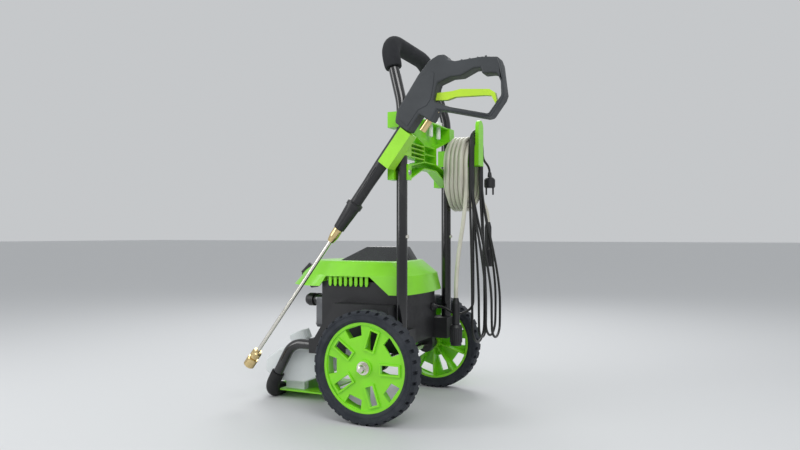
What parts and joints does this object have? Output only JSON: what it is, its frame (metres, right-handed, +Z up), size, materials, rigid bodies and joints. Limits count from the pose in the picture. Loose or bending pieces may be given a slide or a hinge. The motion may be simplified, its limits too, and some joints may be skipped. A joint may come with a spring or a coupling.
{
  "type": "pressure washer",
  "caption": "Upright electric pressure washer on a wheeled hand-truck frame, with a pump under a moulded cover, a detergent tank, a racked spray gun and lance, and a hung hose and mains cord.",
  "frame": {"origin": "on the floor under the middle of the machine without its hung hose and cord", "axes": "+Z up, +Y towards the person who pushes it, +X to that person's left, the side of the gun"},
  "size_m": [0.4818, 0.679, 0.903],
  "materials": {
    "tyre": "matte moulded tread",
    "green_plastic": "semi-gloss lime green",
    "chrome_steel": "bright plated",
    "black_plastic": "fine grain",
    "black_tube": "gloss black paint",
    "foam": "matte foam",
    "boot_rubber": "matte",
    "motor_steel": "plain",
    "cast_alloy": "cast",
    "brass": "turned",
    "tank_plastic": "milky white",
    "white_plastic": "white",
    "gun_plastic": "dark slate grain",
    "lime_plastic": "yellow lime",
    "hose_skin": "cream, smooth",
    "cord_skin": "smooth black"
  },
  "bodies": {
    "frame": {"axle": "chrome_steel", "axle_nuts": "chrome_steel", "base_tray": "black_plastic", "cord_gland": "black_plastic", "cord_hank": "cord_skin", "cord_lead": "cord_skin", "foot_boots": "boot_rubber", "foot_tube": "black_tube", "gun_holder": "green_plastic", "handle_grip": "foam", "handle_tube": "black_tube", "hose_coil": "hose_skin", "hose_hook": "green_plastic", "hose_sleeves": "black_plastic", "hose_tails": "hose_skin", "motor_can": "motor_steel", "motor_housing": "black_plastic", "power_plug": "black_plastic", "pressure_outlet": "brass", "pump_bolts": "motor_steel", "pump_head": "cast_alloy", "pump_housing": "cast_alloy", "rack_bolts": "motor_steel", "rack_panel": "green_plastic", "siphon_hose": "tank_plastic", "soap_tank": "tank_plastic", "switch_box": "black_plastic", "tank_shelf": "green_plastic", "top_cover": "green_plastic", "top_hood": "black_plastic", "upright_left": "black_tube", "upright_right": "black_tube", "water_inlet": "black_plastic"},
    "wheel_left": {"wheel_tyre_left": "tyre", "wheel_rim_left": "green_plastic"},
    "wheel_right": {"wheel_tyre_right": "tyre", "wheel_rim_right": "green_plastic"},
    "rotor": {"motor_rotor": "motor_steel", "motor_fan": "black_plastic", "swash_plate": "motor_steel"},
    "piston_1": {"pump_piston_1": "motor_steel"},
    "piston_2": {"pump_piston_2": "motor_steel"},
    "piston_3": {"pump_piston_3": "motor_steel"},
    "button_left": {"snap_button_left": "chrome_steel"},
    "button_right": {"snap_button_right": "chrome_steel"},
    "knob": {"switch_knob": "black_plastic"},
    "cap": {"soap_cap": "tank_plastic"},
    "tip_1": {"nozzle_tip_1": "white_plastic"},
    "tip_2": {"nozzle_tip_2": "white_plastic"},
    "gun": {"gun_shell_left": "gun_plastic", "gun_shell_right": "gun_plastic", "gun_valve": "brass", "lance_grip": "black_plastic", "lance_tube": "chrome_steel", "lance_coupling": "brass", "nozzle_body": "brass"},
    "trigger": {"gun_trigger": "lime_plastic"},
    "collar": {"nozzle_collar": "brass"},
    "fitting_near": {"hose_fitting_near": "black_plastic"},
    "fitting_far": {"hose_fitting_far": "black_plastic"}
  },
  "joints": [
    {"name": "wheel_left_turn", "type": "hinge", "parent": "frame", "child": "wheel_left", "pos_m": [0.207, 0.0245, 0.127], "axis": [1, 0, 0], "continuous": true},
    {"name": "wheel_right_turn", "type": "hinge", "parent": "frame", "child": "wheel_right", "pos_m": [-0.207, 0.0245, 0.127], "axis": [1, 0, 0], "continuous": true},
    {"name": "rotor_turn", "type": "hinge", "parent": "frame", "child": "rotor", "pos_m": [0, 0.0225, 0.224], "axis": [0, 1, 0], "continuous": true},
    {"name": "piston_1_stroke", "type": "slide", "parent": "frame", "child": "piston_1", "axis": [0, -1, 0], "range_m": [0, 0.0055], "stiffness_N_per_m": 400},
    {"name": "piston_2_stroke", "type": "slide", "parent": "frame", "child": "piston_2", "axis": [0, -1, 0], "range_m": [0, 0.0055], "stiffness_N_per_m": 400},
    {"name": "piston_3_stroke", "type": "slide", "parent": "frame", "child": "piston_3", "axis": [0, -1, 0], "range_m": [0, 0.0055], "stiffness_N_per_m": 400},
    {"name": "button_left_press", "type": "slide", "parent": "frame", "child": "button_left", "axis": [0, -1, 0], "range_m": [0, 0.005], "stiffness_N_per_m": 300},
    {"name": "button_right_press", "type": "slide", "parent": "frame", "child": "button_right", "axis": [0, -1, 0], "range_m": [0, 0.005], "stiffness_N_per_m": 300},
    {"name": "knob_turn", "type": "hinge", "parent": "frame", "child": "knob", "pos_m": [0, -0.25538, 0.32056], "axis": [0, -0.6936, 0.7203], "range_deg": [-90, 0]},
    {"name": "cap_unscrew", "type": "hinge", "parent": "frame", "child": "cap", "pos_m": [0.03, -0.2575, 0.134], "axis": [0, -0.4067, 0.9135], "range_deg": [0, 360]},
    {"name": "tip_1_lift", "type": "slide", "parent": "frame", "child": "tip_1", "axis": [0, 0, 1], "range_m": [0, 0.05]},
    {"name": "tip_2_lift", "type": "slide", "parent": "frame", "child": "tip_2", "axis": [0, 0, 1], "range_m": [0, 0.05]},
    {"name": "gun_lift_out", "type": "slide", "parent": "frame", "child": "gun", "axis": [0, -0.7955, 0.606], "range_m": [0, 0.15]},
    {"name": "trigger_squeeze", "type": "hinge", "parent": "gun", "child": "trigger", "pos_m": [0.179, 0.1775, 0.722], "axis": [1, 0, 0], "range_deg": [0, 12], "stiffness_Nm_per_rad": 1.2},
    {"name": "collar_pull", "type": "slide", "parent": "gun", "child": "collar", "axis": [0, 0.606, 0.7955], "range_m": [0, 0.005], "stiffness_N_per_m": 400},
    {"name": "fitting_near_swivel", "type": "hinge", "parent": "frame", "child": "fitting_near", "pos_m": [-0.07, 0.1355, 0.162], "axis": [0, 0, 1], "continuous": true},
    {"name": "fitting_far_swivel", "type": "hinge", "parent": "frame", "child": "fitting_far", "pos_m": [-0.218, 0.1745, 0.357], "axis": [0, 0, 1], "continuous": true}
  ]
}
